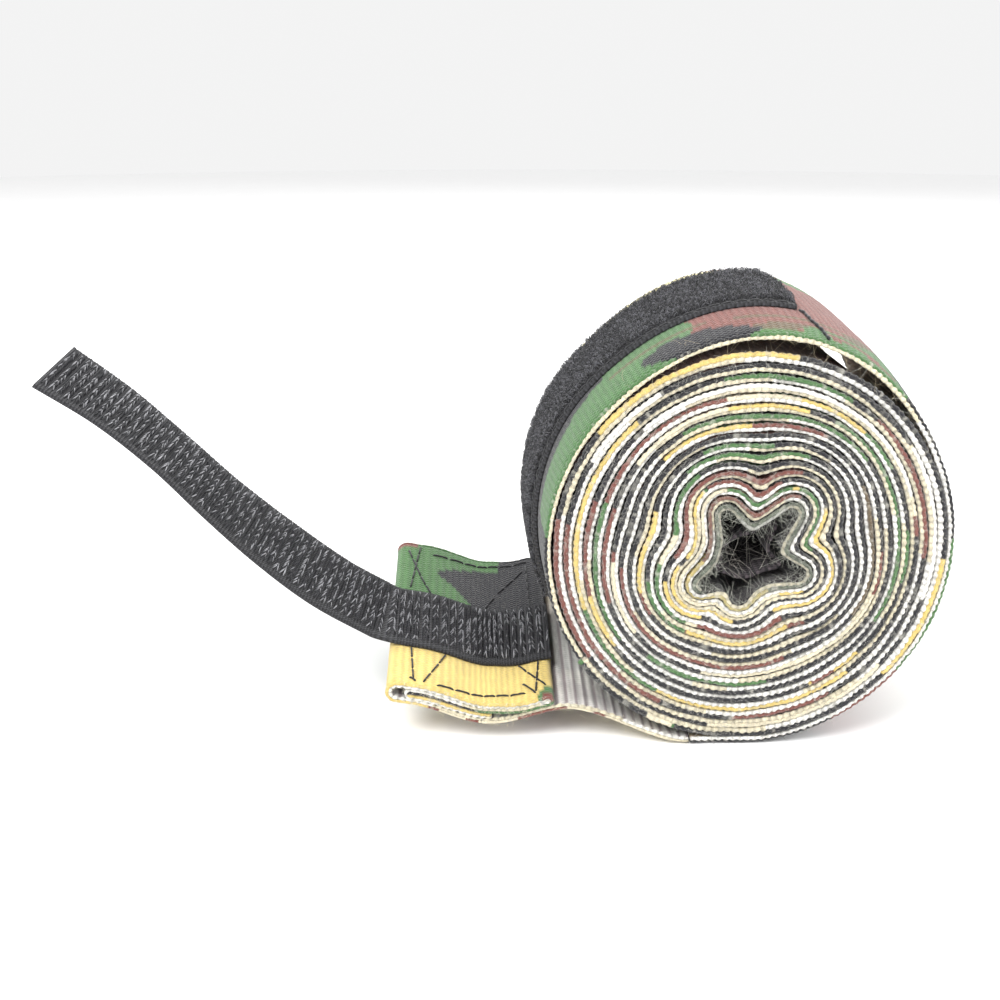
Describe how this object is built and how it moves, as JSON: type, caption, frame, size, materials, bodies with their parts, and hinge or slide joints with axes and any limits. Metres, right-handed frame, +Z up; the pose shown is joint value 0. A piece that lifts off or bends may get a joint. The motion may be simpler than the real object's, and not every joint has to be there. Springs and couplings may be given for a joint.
{
  "type": "rolled boxing hand wrap",
  "caption": "Long camouflage cotton hand wrap rolled on itself, with a folded sewn end, a standing hook strap, a loop patch on the last turn and a thumb loop in the core.",
  "frame": {"origin": "In the middle of the width of the strip, on the flat face that the roll rests on, straight below the roll's axis.", "axes": "+X to the right across the roll, away from the sewn end and the strap. +Y along the roll's axis, from the near face to the far face. +Z up."},
  "size_m": [0.1658, 0.0515, 0.0842],
  "materials": {
    "printed_cloth": "ribbed cotton, printed in green, black, brown and tan patches",
    "plain_cloth": "ribbed cotton, unprinted cream side with some colour showing through",
    "hook_tape": "black woven nylon with rows of small stiff hooks",
    "loop_tape": "black fuzzy pile between flat woven edges",
    "thumb_tape": "black ribbed tape",
    "thread": "black sewing thread"
  },
  "bodies": {
    "roll": {"wound_turns": "plain_cloth", "outer_turn": "printed_cloth", "tail_run": "plain_cloth", "thumb_loop": "thumb_tape", "thumb_thread": "thread", "loop_patch": "loop_tape", "patch_edge_thread": "thread", "patch_end_thread": "thread"},
    "flap": {"flap_lower": "plain_cloth", "flap_upper": "printed_cloth", "end_hem": "plain_cloth", "flap_thread_near": "thread", "flap_thread_far": "thread", "strap_base": "hook_tape"},
    "strap_1": {"strap_1": "hook_tape"},
    "strap_2": {"strap_2": "hook_tape"},
    "strap_3": {"strap_3": "hook_tape"},
    "strap_4": {"strap_4": "hook_tape"},
    "strap_5": {"strap_5": "hook_tape"},
    "strap_6": {"strap_6": "hook_tape"}
  },
  "joints": [
    {"name": "flap_hinge", "type": "hinge", "parent": "roll", "child": "flap", "pos_m": [-0.0315, 0.00161, 0.01048], "axis": [0, 0.9886, 0.1503], "range_deg": [-6, 16]},
    {"name": "strap_root", "type": "hinge", "parent": "flap", "child": "strap_1", "pos_m": [-0.0666, -0.00332, 0.0183], "axis": [0.1191, 0.9729, 0.1979], "range_deg": [-33, 50]},
    {"name": "strap_bend_2", "type": "hinge", "parent": "strap_1", "child": "strap_2", "pos_m": [-0.0772, -0.00332, 0.0247], "axis": [0.1381, 0.9705, 0.1975], "range_deg": [-4, 10]},
    {"name": "strap_bend_3", "type": "hinge", "parent": "strap_2", "child": "strap_3", "pos_m": [-0.0876, -0.00332, 0.033], "axis": [0.1479, 0.974, 0.1717], "range_deg": [-4, 10]},
    {"name": "strap_bend_4", "type": "hinge", "parent": "strap_3", "child": "strap_4", "pos_m": [-0.0973, -0.00332, 0.042], "axis": [0.1186, 0.9855, 0.121], "range_deg": [-4, 10]},
    {"name": "strap_bend_5", "type": "hinge", "parent": "strap_4", "child": "strap_5", "pos_m": [-0.1065, -0.00332, 0.0515], "axis": [0.0931, 0.9911, 0.0954], "range_deg": [-4, 10]},
    {"name": "strap_bend_6", "type": "hinge", "parent": "strap_5", "child": "strap_6", "pos_m": [-0.1163, -0.00332, 0.0605], "axis": [0.0993, 0.9876, 0.1213], "range_deg": [-4, 10]}
  ],
  "couplings": [
    {"joint": "strap_bend_3", "follows": "strap_bend_2", "ratio": 1},
    {"joint": "strap_bend_4", "follows": "strap_bend_2", "ratio": 1},
    {"joint": "strap_bend_5", "follows": "strap_bend_2", "ratio": 1},
    {"joint": "strap_bend_6", "follows": "strap_bend_2", "ratio": 1}
  ]
}
